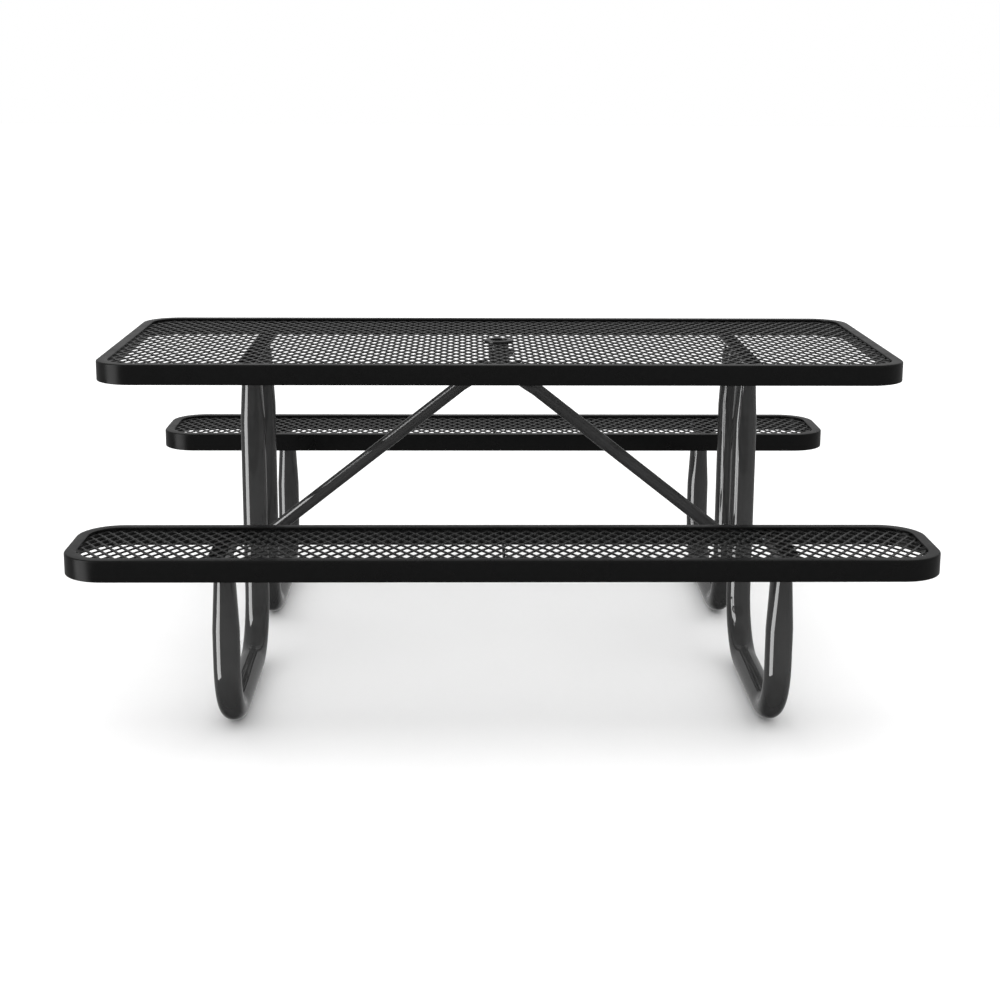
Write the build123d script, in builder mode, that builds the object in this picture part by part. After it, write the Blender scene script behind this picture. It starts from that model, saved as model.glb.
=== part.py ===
from build123d import *
import math
import os

# Picnic table with a meshed top and two meshed benches on bent tube legs. Millimetres.
# X runs along the table, Y across it from the front bench to the back bench, Z up.
# The origin is on the floor, under the middle of the tabletop.

# ---- tabletop and benches ----
table_length = 1828.8
table_depth = 762.0
table_height = 762.0
table_corner_radius = 88.9
seat_length = 1828.8
seat_depth = 293.4
seat_height = 424.7
seat_corner_radius = 91.0
overall_depth = 1553.7

# ---- formed rim and mesh panel ----
rim_height = 45.6
rim_wall = 4.8
rim_flange = 25.4
rim_edge_radius = 4.0
mesh_thickness = 4.0
panel_clearance = 0.3

# ---- bent tube legs ----
frame_spacing = 1173.6
tube_diameter = 58.0
tube_wall = 3.2
bend_radius = 139.7
arm_outset = 33.9
table_leg_spacing = 234.2
swage_length = 138.0
swage_width = 43.0

# ---- cross angles under the panels and the plates that join them to the legs ----
angle_height = 32.0
angle_flange = 38.0
angle_thickness = 6.0
plate_thickness = 6.0
plate_height = 26.0
plate_top_clearance = 0.2
plate_end_gap = 8.0
plate_overhang = 52.0
bolt_end_distance = 14.0
tongue_depth = 18.0
tongue_width = 52.0
slot_clearance = 0.15
tube_end_clearance = 0.8
strap_thickness = 5.0
strap_height = 22.0

# ---- umbrella hole ----
umbrella_bore = 42.0
sleeve_wall = 3.15
sleeve_length = 46.0
ring_diameter = 71.0
sleeve_clearance = 0.3
screw_drop = 26.0
screw_radius = 4.0
screw_clearance = 0.05
screw_tip_recess = 0.6
boss_radius = 9.0
boss_height = 5.0
knob_radius = 10.0
knob_height = 6.0
knob_gap = 0.5
knob_groove_radius = 1.2
knob_grooves = 16

# ---- cross ties and diagonal braces ----
tie_diameter = 42.0
tie_wall = 3.0
tie_height = 254.8
brace_diameter = 32.0
brace_wall = 2.6
brace_flat = 8.0
brace_flat_width = 38.0
brace_flat_run = 30.0
brace_taper = 45.0
hub_plate_thickness = 4.0
hub_neck_width = 36.0
hub_gap = 0.1
hub_bolt_x = 36.0
hub_bolt_drop = 73.4
weld_gap = 0.1

# ---- fasteners ----
bolt_radius = 5.0
hole_clearance = 0.4
head_across_flats = 17.0
head_height = 6.4
nut_height = 8.4
washer_radius = 10.5
washer_thickness = 2.0
thread_clearance = 0.05
bolt_overhang = 3.0

# ---- sizes that follow ----
tube_radius = tube_diameter / 2
frame_x = frame_spacing / 2
seat_centre_y = (overall_depth - seat_depth) / 2
arm_y = seat_centre_y + arm_outset
leg_y = table_leg_spacing / 2
swage_half_x = swage_width / 2
swage_half_y = math.sqrt(2 * tube_radius**2 - swage_half_x**2)
sleeve_radius = umbrella_bore / 2 + sleeve_wall
hub_plate_y = sleeve_radius + hub_gap
brace_y = hub_plate_y + hub_plate_thickness + brace_flat / 2
hub_bolt_z = table_height - hub_bolt_drop
screw_z = table_height - rim_wall - screw_drop

BASE = (Align.CENTER, Align.CENTER, Align.MIN)
ENDS = {"left": -1, "right": 1}
SIDES = {"front": -1, "back": 1}


def mesh_underside(top):
    """Height of the underside of a mesh panel whose rim has its top at this height."""
    return top - rim_wall - mesh_thickness


def angle_bottom(top):
    """Height of the lower edge of the cross angle under a panel."""
    return mesh_underside(top) - angle_height


def plate_top(top):
    """Height of the upper edge of a mounting plate, just under the angle's flange."""
    return mesh_underside(top) - angle_thickness - plate_top_clearance


def tube_top(top):
    """Height where a leg's pressed end stops, just under the cross angle."""
    return angle_bottom(top) - tube_end_clearance


def bolt_height(top):
    """Height of the bolts that hold a mounting plate to its cross angle."""
    return plate_top(top) - plate_height / 2


def save(piece, name):
    """Label a finished piece and write it to its own file."""
    piece.part.label = name
    export_step(piece.part, f"parts/{name}.step")


def rim(length, depth, corner, top, centre_y):
    """Formed rim: an angle section bent round the whole panel, flange inwards at the top."""
    bottom = top - rim_height
    with BuildPart() as piece:
        with BuildSketch(Plane.XY.offset(bottom)):
            with Locations((0, centre_y)):
                RectangleRounded(length, depth, corner)
        extrude(amount=rim_height)
        fillet(piece.faces().sort_by(Axis.Z)[-1].edges(), rim_edge_radius)
        with BuildSketch(Plane.XY.offset(bottom)):
            with Locations((0, centre_y)):
                RectangleRounded(length - 2 * rim_wall, depth - 2 * rim_wall, corner - rim_wall)
        extrude(amount=rim_height - rim_wall, mode=Mode.SUBTRACT)
        with BuildSketch(Plane.XY.offset(top - rim_wall)):
            with Locations((0, centre_y)):
                RectangleRounded(length - 2 * rim_flange, depth - 2 * rim_flange, corner - rim_flange)
        extrude(amount=rim_wall, mode=Mode.SUBTRACT)
    return piece


def mesh_panel(length, depth, corner, top, centre_y, hole_radius=0.0):
    """Mesh panel, welded up against the underside of the rim's flange."""
    inset = rim_wall + panel_clearance
    with BuildPart() as piece:
        with BuildSketch(Plane.XY.offset(mesh_underside(top))):
            with Locations((0, centre_y)):
                RectangleRounded(length - 2 * inset, depth - 2 * inset, corner - inset)
                if hole_radius:
                    Circle(hole_radius, mode=Mode.SUBTRACT)
        extrude(amount=mesh_thickness)
    return piece


def cross_angle(end, depth, top, centre_y, bolt_ys, web_side):
    """Angle across the panel: a web beside the mounting plate and a flange over it.

    web_side is +1 where the web is on the outer side of the plate and -1 where it is inside.
    """
    outward = end * web_side
    web_x = end * frame_x + outward * (plate_thickness + angle_thickness) / 2
    flange_x = web_x + outward * (angle_thickness - angle_flange) / 2
    span = depth - 2 * rim_wall
    under = mesh_underside(top)
    with BuildPart() as piece:
        with Locations((web_x, centre_y, under - angle_height)):
            Box(angle_thickness, span, angle_height, align=BASE)
        with Locations((flange_x, centre_y, under - angle_thickness)):
            Box(angle_flange, span, angle_thickness, align=BASE)
        with Locations([Location((web_x, y, bolt_height(top)), (0, 90, 0)) for y in bolt_ys]):
            Cylinder(bolt_radius + hole_clearance, 2 * angle_thickness, mode=Mode.SUBTRACT)
    return piece


def mounting_plate(end, top, centre_y, length, bolt_ys, tongue_ys):
    """Upright plate along Y, with a tongue down into the slotted end of each leg under it."""
    x = end * frame_x
    tongue_bottom = tube_top(top) - tongue_depth
    with BuildPart() as piece:
        with Locations((x, centre_y, plate_top(top) - plate_height)):
            Box(plate_thickness, length, plate_height, align=BASE)
        with Locations([(x, y, tongue_bottom) for y in tongue_ys]):
            Box(plate_thickness, tongue_width, plate_top(top) - tongue_bottom, align=BASE)
        with Locations([Location((x, y, bolt_height(top)), (0, 90, 0)) for y in bolt_ys]):
            Cylinder(bolt_radius + hole_clearance, 2 * plate_thickness, mode=Mode.SUBTRACT)
    return piece


def bent_leg(end, side):
    """One bent tube: bench arm, bend, floor rail, bend and table leg.

    Both ends are pressed from round to oval over swage_length, then slotted for a plate's tongue.
    """
    x = end * frame_x
    arm = side * arm_y
    leg = side * leg_y
    arm_start = tube_top(seat_height) - swage_length
    leg_start = tube_top(table_height) - swage_length
    with BuildPart() as piece:
        with BuildLine(Plane.YZ.offset(x)) as path:
            FilletPolyline(
                (arm, arm_start),
                (arm, tube_radius),
                (leg, tube_radius),
                (leg, leg_start),
                radius=bend_radius,
            )
        with BuildSketch(Plane(origin=path.line @ 0, z_dir=path.line % 0)):
            Circle(tube_radius)
            Circle(tube_radius - tube_wall, mode=Mode.SUBTRACT)
        sweep(path=path.line)
        for y, top in ((arm, seat_height), (leg, table_height)):
            for inset, mode in ((0, Mode.ADD), (tube_wall, Mode.SUBTRACT)):
                with BuildSketch(Plane((x, y, tube_top(top) - swage_length))):
                    Circle(tube_radius - inset)
                with BuildSketch(Plane((x, y, tube_top(top)))):
                    Ellipse(swage_half_x - inset, swage_half_y - inset)
                loft(mode=mode)
            with Locations((x, y, tube_top(top) - tongue_depth - slot_clearance)):
                Box(
                    plate_thickness + 2 * slot_clearance,
                    2 * tube_diameter,
                    2 * tongue_depth,
                    align=BASE,
                    mode=Mode.SUBTRACT,
                )
    return piece


def seat_strap(side):
    """Flat bar on edge under the middle of a bench's mesh."""
    bottom = mesh_underside(seat_height) - strap_height
    with BuildPart() as piece:
        with Locations((0, side * seat_centre_y, bottom)):
            Box(strap_thickness, seat_depth - 2 * rim_wall, strap_height, align=BASE)
    return piece


def umbrella_ring():
    """Flat ring that trims the umbrella hole, resting on the mesh and on the sleeve."""
    with BuildPart() as piece:
        with Locations((0, 0, table_height - rim_wall)):
            Cylinder(ring_diameter / 2, rim_wall, align=BASE)
        with Locations((0, 0, table_height)):
            Hole(umbrella_bore / 2)
        fillet(piece.faces().sort_by(Axis.Z)[-1].outer_wire().edges(), rim_wall / 4)
    return piece


def umbrella_sleeve():
    """Short tube that holds the umbrella pole, tapped on one side for the set screw."""
    top = table_height - rim_wall
    with BuildPart() as piece:
        with Locations((0, 0, top - sleeve_length)):
            Cylinder(sleeve_radius, sleeve_length, align=BASE)
        with Locations((0, 0, top)):
            Hole(umbrella_bore / 2)
        with Locations(Location((0, 0, screw_z), (0, 90, 0))):
            Cylinder(
                screw_radius + screw_clearance,
                2 * sleeve_radius,
                align=BASE,
                mode=Mode.SUBTRACT,
            )
    return piece


def screw_boss():
    """Weld nut on the sleeve's side, shaped to the sleeve and bored for the set screw."""
    outer = sleeve_radius + boss_height
    with BuildPart() as piece:
        with Locations(Location((0, 0, screw_z), (0, 90, 0))):
            Cylinder(boss_radius, outer, align=BASE)
            Cylinder(screw_radius + screw_clearance, outer, align=BASE, mode=Mode.SUBTRACT)
        with Locations((0, 0, screw_z)):
            Cylinder(sleeve_radius + hub_gap, 4 * boss_radius, mode=Mode.SUBTRACT)
    return piece


def set_screw():
    """Thumb screw that clamps the umbrella pole; its tip is flush inside the sleeve's wall."""
    tip = umbrella_bore / 2 + screw_tip_recess
    knob_start = sleeve_radius + boss_height + knob_gap
    with BuildPart() as piece:
        with Locations(Location((tip, 0, screw_z), (0, 90, 0))):
            Cylinder(screw_radius, knob_start + knob_height - tip, align=BASE)
        with Locations(Location((knob_start, 0, screw_z), (0, 90, 0))):
            Cylinder(knob_radius, knob_height, align=BASE)
            with PolarLocations(knob_radius, knob_grooves):
                Cylinder(knob_groove_radius, knob_height, align=BASE, mode=Mode.SUBTRACT)
    return piece


def cross_tie(end):
    """Round tie between the front and back table legs of one end, coped onto both."""
    with BuildPart() as piece:
        with Locations(Location((end * frame_x, 0, tie_height), (90, 0, 0))):
            Cylinder(tie_diameter / 2, 2 * leg_y)
            Cylinder(tie_diameter / 2 - tie_wall, 2 * leg_y, mode=Mode.SUBTRACT)
        with Locations([(end * frame_x, side * leg_y, tie_height) for side in (-1, 1)]):
            Cylinder(tube_radius + weld_gap, 2 * tie_diameter, mode=Mode.SUBTRACT)
    return piece


def brace_side(end):
    """The left brace lies behind the sleeve and the right one in front of it."""
    return -end


def brace(end):
    """Diagonal tube, pressed flat for a bolt at the hub plates and coped onto the tie below."""
    y = brace_side(end) * brace_y
    upper = Vector(end * hub_bolt_x, y, hub_bolt_z)
    lower = Vector(end * frame_x, y, tie_height)
    along = (lower - upper).normalized()
    flats = brace_flat_run + brace_taper
    with BuildPart() as piece:
        with BuildSketch(Plane(origin=upper + along * flats, x_dir=(0, 1, 0), z_dir=along)):
            Circle(brace_diameter / 2)
            Circle(brace_diameter / 2 - brace_wall, mode=Mode.SUBTRACT)
        extrude(amount=(lower - upper).length - flats)
        with Locations(Location((end * frame_x, y, tie_height), (90, 0, 0))):
            Cylinder(tie_diameter / 2 + weld_gap, 2 * brace_diameter, mode=Mode.SUBTRACT)
        with BuildSketch(Plane(origin=upper + along * flats, x_dir=(0, 1, 0), z_dir=along)):
            Circle(brace_diameter / 2)
        with BuildSketch(
            Plane(origin=upper + along * brace_flat_run, x_dir=(0, 1, 0), z_dir=along)
        ):
            Ellipse(brace_flat / 2, brace_flat_width / 2)
        loft()
        with BuildSketch(Plane(origin=upper, x_dir=along, z_dir=(0, 1, 0))):
            Circle(brace_flat_width / 2)
            with Locations((brace_flat_run / 2, 0)):
                Rectangle(brace_flat_run, brace_flat_width)
            Circle(bolt_radius + hole_clearance, mode=Mode.SUBTRACT)
        extrude(amount=brace_flat / 2, both=True)
    return piece


def hub_plates():
    """Two T-shaped plates, necks welded to the sleeve; each takes the top bolt of one brace."""
    half = hub_bolt_x + brace_flat_width / 2
    neck = hub_neck_width / 2
    low = hub_bolt_z - brace_flat_width / 2
    shoulder = hub_bolt_z + bolt_end_distance
    high = screw_z + boss_radius / 2
    with BuildPart() as piece:
        for side in (-1, 1):
            y = side * (hub_plate_y + hub_plate_thickness / 2)
            with BuildSketch(Plane.XZ.offset(-y)):
                with BuildLine():
                    Polyline(
                        (-half, low),
                        (half, low),
                        (half, shoulder),
                        (neck, shoulder),
                        (neck, high),
                        (-neck, high),
                        (-neck, shoulder),
                        (-half, shoulder),
                        close=True,
                    )
                make_face()
                with Locations((-side * hub_bolt_x, hub_bolt_z)):
                    Circle(bolt_radius + hole_clearance, mode=Mode.SUBTRACT)
            extrude(amount=hub_plate_thickness / 2, both=True)
    return piece


def bolt(grip):
    """Hex bolt with its head above Z = 0 and its shank below, long enough for the grip."""
    length = grip + washer_thickness + nut_height + bolt_overhang
    with BuildPart() as piece:
        with BuildSketch():
            RegularPolygon(head_across_flats / 2, 6, major_radius=False)
        extrude(amount=head_height)
        with Locations((0, 0, -length)):
            Cylinder(bolt_radius, length, align=BASE)
    return piece


def nut():
    """Hex nut that stands on Z = 0, bored to clear the shank."""
    with BuildPart() as piece:
        with BuildSketch():
            RegularPolygon(head_across_flats / 2, 6, major_radius=False)
        extrude(amount=nut_height)
        Cylinder(
            bolt_radius + thread_clearance,
            nut_height,
            align=BASE,
            mode=Mode.SUBTRACT,
        )
    return piece


def washer():
    """Flat washer that stands on Z = 0."""
    with BuildPart() as piece:
        Cylinder(washer_radius, washer_thickness, align=BASE)
        Cylinder(bolt_radius + hole_clearance, washer_thickness, align=BASE, mode=Mode.SUBTRACT)
    return piece


def group(item, places):
    """Copies of one fastener as separate solids in one piece."""
    with BuildPart() as piece:
        with Locations(places):
            add(item.part)
    return piece


def fastener_places(point, direction, grip):
    """Places of a bolt's head, washer and nut: the head faces along direction at point."""
    at = Vector(*point)
    out = Vector(*direction)
    head = Plane(origin=at, z_dir=out)
    under = Plane(origin=at - out * grip, z_dir=-out)
    last = Plane(origin=at - out * (grip + washer_thickness), z_dir=-out)
    return head.location, under.location, last.location


def save_fasteners(name, points, grip):
    """Write the bolts and nuts of one set, and return the places of their washers."""
    places = [fastener_places(point, direction, grip) for point, direction in points]
    save(group(bolt(grip), [head for head, under, last in places]), f"{name}_bolts")
    save(group(nut(), [last for head, under, last in places]), f"{name}_nuts")
    return [under for head, under, last in places]


os.makedirs("parts", exist_ok=True)

# ---- tabletop ----
table_bolt_y = leg_y + swage_half_y + plate_overhang - bolt_end_distance
table_bolt_ys = (-table_bolt_y, table_bolt_y)
table_plate_length = 2 * (table_bolt_y + bolt_end_distance)
save(rim(table_length, table_depth, table_corner_radius, table_height, 0), "tabletop_rim")
save(
    mesh_panel(
        table_length,
        table_depth,
        table_corner_radius,
        table_height,
        0,
        sleeve_radius + sleeve_clearance,
    ),
    "tabletop_mesh",
)
for end_name, end in ENDS.items():
    angle = cross_angle(end, table_depth, table_height, 0, table_bolt_ys, 1)
    save(angle, f"tabletop_cross_angle_{end_name}")
    plate = mounting_plate(end, table_height, 0, table_plate_length, table_bolt_ys, (-leg_y, leg_y))
    save(plate, f"tabletop_plate_{end_name}")

# ---- benches ----
seat_plate_length = seat_depth - 2 * (rim_wall + plate_end_gap)
seat_bolt_reach = seat_plate_length / 2 - bolt_end_distance
for side_name, side in SIDES.items():
    centre = side * seat_centre_y
    bolt_ys = (centre - seat_bolt_reach, centre + seat_bolt_reach)
    bench = (seat_length, seat_depth, seat_corner_radius, seat_height, centre)
    save(rim(*bench), f"{side_name}_seat_rim")
    save(mesh_panel(*bench), f"{side_name}_seat_mesh")
    save(seat_strap(side), f"{side_name}_seat_centre_strap")
    for end_name, end in ENDS.items():
        angle = cross_angle(end, seat_depth, seat_height, centre, bolt_ys, -1)
        save(angle, f"{side_name}_seat_cross_angle_{end_name}")
        plate = mounting_plate(
            end, seat_height, centre, seat_plate_length, bolt_ys, (side * arm_y,)
        )
        save(plate, f"{side_name}_seat_plate_{end_name}")
        save(bent_leg(end, side), f"{side_name}_leg_{end_name}")

# ---- umbrella hole ----
save(umbrella_ring(), "umbrella_ring")
save(umbrella_sleeve(), "umbrella_sleeve")
save(screw_boss(), "set_screw_boss")
save(set_screw(), "set_screw")

# ---- ties and braces ----
save(hub_plates(), "brace_hub_plates")
for end_name, end in ENDS.items():
    save(cross_tie(end), f"leg_cross_tie_{end_name}")
    save(brace(end), f"brace_{end_name}")

# ---- fasteners ----
angle_grip = angle_thickness + plate_thickness
seat_points = [
    (
        (end * (frame_x - plate_thickness / 2 - angle_thickness), y, bolt_height(seat_height)),
        (-end, 0, 0),
    )
    for end in ENDS.values()
    for side in SIDES.values()
    for y in (side * seat_centre_y - seat_bolt_reach, side * seat_centre_y + seat_bolt_reach)
]
table_points = [
    ((end * (frame_x - plate_thickness / 2), y, bolt_height(table_height)), (-end, 0, 0))
    for end in ENDS.values()
    for y in table_bolt_ys
]
brace_points = [
    (
        (end * hub_bolt_x, brace_side(end) * (brace_y + brace_flat / 2), hub_bolt_z),
        (0, brace_side(end), 0),
    )
    for end in ENDS.values()
]
washer_places = save_fasteners("seat", seat_points, angle_grip)
washer_places += save_fasteners("tabletop", table_points, angle_grip)
washer_places += save_fasteners("brace", brace_points, brace_flat + hub_plate_thickness)
save(group(washer(), washer_places), "washers")
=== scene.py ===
# %% [markdown]
# # A picnic table of coated steel mesh on bent tube legs
#
# The CAD model holds every piece in its true place and size. Here it is dressed: the sheet of
# expanded metal gets its diamond holes, the tubes become smooth enough for a gloss finish, and
# each finish is made from nodes. Everything is in metres and shares the CAD model's frame, so a
# piece is worked out where it stands and its object stays at the origin.

# %% Load the fixed frame
import math

import bpy
import numpy as np
from mathutils import Matrix, Vector


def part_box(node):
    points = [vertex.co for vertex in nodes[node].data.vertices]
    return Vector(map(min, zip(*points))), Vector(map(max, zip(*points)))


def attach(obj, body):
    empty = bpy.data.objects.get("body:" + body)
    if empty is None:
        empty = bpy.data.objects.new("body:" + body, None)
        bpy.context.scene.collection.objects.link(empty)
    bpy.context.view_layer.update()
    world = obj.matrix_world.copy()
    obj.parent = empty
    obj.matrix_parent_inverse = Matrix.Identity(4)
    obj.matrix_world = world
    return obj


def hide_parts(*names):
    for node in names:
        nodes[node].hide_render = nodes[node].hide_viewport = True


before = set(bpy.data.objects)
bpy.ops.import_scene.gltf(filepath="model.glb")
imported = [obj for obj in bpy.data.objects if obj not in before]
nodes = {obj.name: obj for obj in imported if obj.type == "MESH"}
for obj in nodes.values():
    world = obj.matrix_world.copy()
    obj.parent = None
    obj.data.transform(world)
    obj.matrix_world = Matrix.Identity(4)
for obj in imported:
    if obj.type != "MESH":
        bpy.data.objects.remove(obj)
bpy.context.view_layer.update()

scene = bpy.context.scene

# %% [markdown]
# ## The camera
#
# A table is looked at by someone standing a few steps away, so the camera is a little above
# table height and looks slightly down. The lens is a moderate tele lens (63 mm on a 36 mm
# sensor), which keeps the long edges calm. The vertical shift frames the table as a view camera
# would, so that upright legs stay nearly upright.

# %% Place the camera
yaw, pitch, roll = -0.0201, -0.2157, -0.0047
turn = (
    Matrix.Rotation(yaw, 3, "Z") @ Matrix.Rotation(pitch, 3, "X") @ Matrix.Rotation(roll, 3, "Y")
)
right, forward, up = turn.col[0], turn.col[1], turn.col[2]
camera_data = bpy.data.cameras.new("camera")
camera_data.sensor_width = 36.0
camera_data.lens = 62.93
camera_data.shift_x = 0.0008
camera_data.shift_y = -0.0483
camera = bpy.data.objects.new("camera", camera_data)
scene.collection.objects.link(camera)
facing = Matrix((right, up, -forward)).transposed().to_4x4()
camera.matrix_world = Matrix.Translation((-0.0822, -4.2094, 1.4052)) @ facing
scene.camera = camera
print("camera looks along", [round(v, 3) for v in forward])

# %% [markdown]
# ## Helpers for surfaces worked out with numpy
#
# Every new piece is a grid of points: a closed outline of points (the columns) is repeated along
# a path (the rows). A grid that closes in both directions is a ring, like a bent rim. A grid that
# closes only across gets a fan of triangles at each end, like a rod. The signed volume of the
# mesh, summed over its triangles, tells whether its faces point outwards, and each edge must
# belong to two faces if the skin is closed.

# %% Grids to faces
def ring_faces(rows, columns):
    """Four-cornered faces of a grid that closes in both directions.

    Corner numbers are row * columns + column, with the next row and column taken modulo the grid.
    """
    i, j = np.meshgrid(np.arange(rows), np.arange(columns), indexing="ij")
    ii, jj = (i + 1) % rows, (j + 1) % columns
    corners = [i * columns + j, i * columns + jj, ii * columns + jj, ii * columns + j]
    return np.stack(corners, -1).reshape(-1, 4)


def rod_faces(rows, columns):
    """Faces of a grid closed across, with a fan at both ends round two extra points.

    The extra points are the two last ones: first the middle of row 0, then of the last row.
    """
    i, j = np.meshgrid(np.arange(rows - 1), np.arange(columns), indexing="ij")
    jj = (j + 1) % columns
    ii = i + 1
    corners = [i * columns + j, i * columns + jj, ii * columns + jj, ii * columns + j]
    sides = np.stack(corners, -1)
    j = np.arange(columns)
    jj = (j + 1) % columns
    first, last = rows * columns, rows * columns + 1
    start = np.stack([np.full(columns, first), jj, j], -1)
    top = (rows - 1) * columns
    end = np.stack([np.full(columns, last), top + j, top + jj], -1)
    return sides.reshape(-1, 4), np.concatenate([start, end])


def with_middles(grid):
    """A (rows, columns, 3) grid as a list of points, with the middles of its end rows added."""
    ends = np.stack([grid[0].mean(0), grid[-1].mean(0)])
    return np.concatenate([grid.reshape(-1, 3), ends])


def triangles_of(faces):
    """Three-cornered faces as they are, and each four-cornered one as two triangles."""
    parts = [f if f.shape[1] == 3 else np.concatenate([f[:, [0, 1, 2]], f[:, [0, 2, 3]]])
             for f in faces]
    return np.concatenate(parts)


pieces = {}


def new_piece(name, points, faces, sharp=None):
    """Make an object from points (n, 3) and a list of face arrays.

    Volume = sum over triangles of a . (b x c) / 6; if it is negative all faces are turned round.
    Edges that don't belong to exactly two faces are counted and printed.
    """
    faces = [np.asarray(f, dtype=np.int64) for f in faces]
    tri = triangles_of(faces)
    a, b, c = points[tri[:, 0]], points[tri[:, 1]], points[tri[:, 2]]
    volume = np.einsum("ij,ij->", a, np.cross(b, c)) / 6
    if volume < 0:
        faces = [f[:, ::-1] for f in faces]
    edges = [np.stack([f, np.roll(f, -1, axis=1)], -1).reshape(-1, 2) for f in faces]
    edges = np.concatenate(edges)
    used = np.unique(np.sort(edges, axis=1), axis=0, return_counts=True)[1]
    mesh = bpy.data.meshes.new(name)
    mesh.from_pydata(points.tolist(), [], [row for f in faces for row in f.tolist()])
    mesh.polygons.foreach_set("use_smooth", np.ones(len(mesh.polygons), dtype=bool))
    if sharp is not None:
        mesh.set_sharp_from_angle(angle=math.radians(sharp))
    mesh.update()
    piece = bpy.data.objects.new(name, mesh)
    scene.collection.objects.link(piece)
    pieces[name] = piece
    loose = int((used != 2).sum())
    print(f"{name}: {len(tri)} triangles, {abs(volume) * 1e6:.1f} cm3, {loose} open edges")
    return piece


# %% Rounded corners and boxes of CAD nodes
def rounded_corners(corners, radii, steps):
    """A closed outline of straight runs whose corners are arcs.

    At a corner with the angle A between its two runs, the arc touches each run at
    radius / tan(A / 2) from the corner, and its centre is radius / sin(A / 2) away along the
    middle line. The points between are the two touching directions blended on the circle.
    """
    corners = np.asarray(corners, float)
    radii = np.asarray(radii, float)[:, None]
    back = np.roll(corners, 1, axis=0) - corners
    ahead = np.roll(corners, -1, axis=0) - corners
    back /= np.linalg.norm(back, axis=1, keepdims=True)
    ahead /= np.linalg.norm(ahead, axis=1, keepdims=True)
    angle = np.arccos(np.clip((back * ahead).sum(1, keepdims=True), -1, 1))
    middle = back + ahead
    middle /= np.linalg.norm(middle, axis=1, keepdims=True)
    centre = corners + middle * radii / np.sin(angle / 2)
    reach = radii / np.tan(angle / 2)
    first = (corners + back * reach - centre) / radii
    last = (corners + ahead * reach - centre) / radii
    sweep = (math.pi - angle)[:, None]
    u = np.linspace(0, 1, steps + 1)[None, :, None]
    arc = np.sin((1 - u) * sweep) * first[:, None] + np.sin(u * sweep) * last[:, None]
    arc = arc / np.sin(sweep)
    return (centre[:, None] + arc * radii[:, None]).reshape(-1, 2)


def low_high(node):
    """Lowest and highest corner of a CAD node, as two arrays."""
    low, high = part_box(node)
    return np.array(low), np.array(high)


top_low, top_high = low_high("tabletop_rim")
seat_boxes = {side: low_high(f"{side}_seat_rim") for side in ("front", "back")}
print("tabletop height", round(top_high[2], 4), "bench height", round(seat_boxes["front"][1][2], 4))

# %% [markdown]
# ## Rims
#
# Each panel is held by a rim of formed steel: an upright wall with a flange folded inwards at the
# top, which people see as the smooth dark border. The whole rim is then dipped in hot powder that
# melts to a thick coat, so every edge is soft. That calls for one closed profile, with an arc at
# each corner, carried round a rounded rectangle. At every stop the profile's inset is measured
# inwards along the outline's own normal, so the corners come out as true arcs.

# %% Carry the rim profile round the outline
rim_wall, rim_flange = 0.0048, 0.0254
table_corner, seat_corner = 0.0889, 0.0910


def rounded_rectangle(low, high, corner, steps=22):
    """Outline points and outward normals of a rounded rectangle, anticlockwise from +X."""
    centre = (low + high)[:2] / 2
    half = (high - low)[:2] / 2 - corner
    u = np.linspace(0, math.pi / 2, steps + 1)
    angle = (np.arange(4)[:, None] * math.pi / 2 + u).ravel()
    normal = np.stack([np.cos(angle), np.sin(angle)], -1)
    sign = np.array([[1, 1], [-1, 1], [-1, -1], [1, -1]]).repeat(steps + 1, axis=0)
    return centre + sign * half + normal * corner, normal


def make_rim(name, low, high, corner):
    """Profile corners are (inset, height); a point is outline - normal * inset, at that height."""
    top, bottom = high[2], low[2]
    outline = rounded_corners(
        [(0, bottom), (0, top), (rim_flange, top), (rim_flange, top - rim_wall),
         (rim_wall, top - rim_wall), (rim_wall, bottom)],
        [0.0014, 0.0040, 0.0016, 0.0014, 0.0030, 0.0014], 6)
    path, normal = rounded_rectangle(low, high, corner)
    flat = path[:, None] - normal[:, None] * outline[None, :, :1]
    grid = np.concatenate([flat, np.broadcast_to(outline[None, :, 1:], flat.shape[:2] + (1,))], -1)
    return new_piece(name, grid.reshape(-1, 3), [ring_faces(*grid.shape[:2])])


rims = [make_rim("tabletop_rim_coated", top_low, top_high, table_corner)]
for side, (low, high) in seat_boxes.items():
    rims.append(make_rim(f"{side}_seat_rim_coated", low, high, seat_corner))

# %% [markdown]
# ## Expanded metal
#
# Expanded metal is one sheet that is slit in a brick pattern and pulled open, so that every slit
# becomes a diamond and nothing is cut away. The coat then rounds the strands. The pattern is a
# lattice of diamonds that share their edges. A cell here is the half strand all round one hole:
# it starts on the ridge (the diamond's edge), bulges towards the hole and comes back underneath.
#
# - ridge: the diamond with corners at half the pitch, on whole numbers of a fine grid, so that
#   neighbours find the very same points;
# - hole: distance from the centre in a direction = a soft smallest of three limits: the diamond
#   drawn in by half a strand, and the half width and half length that the bonds leave;
# - strand: point = ridge + (hole - ridge) * (sin t)^0.6, height = middle + half thickness times
#   (cos t)^0.6 with its sign, which is a rectangle with soft corners, as rolled strands have.
#
# Cells that cross the rim's wall or the sleeve are pressed to that line, and open ridges get a
# wall, so each panel is a closed body.

# %% The diamond lattice
side_steps, round_steps = 3, 4
strand_squareness, edge_strip = 0.6, 0.0045


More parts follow.
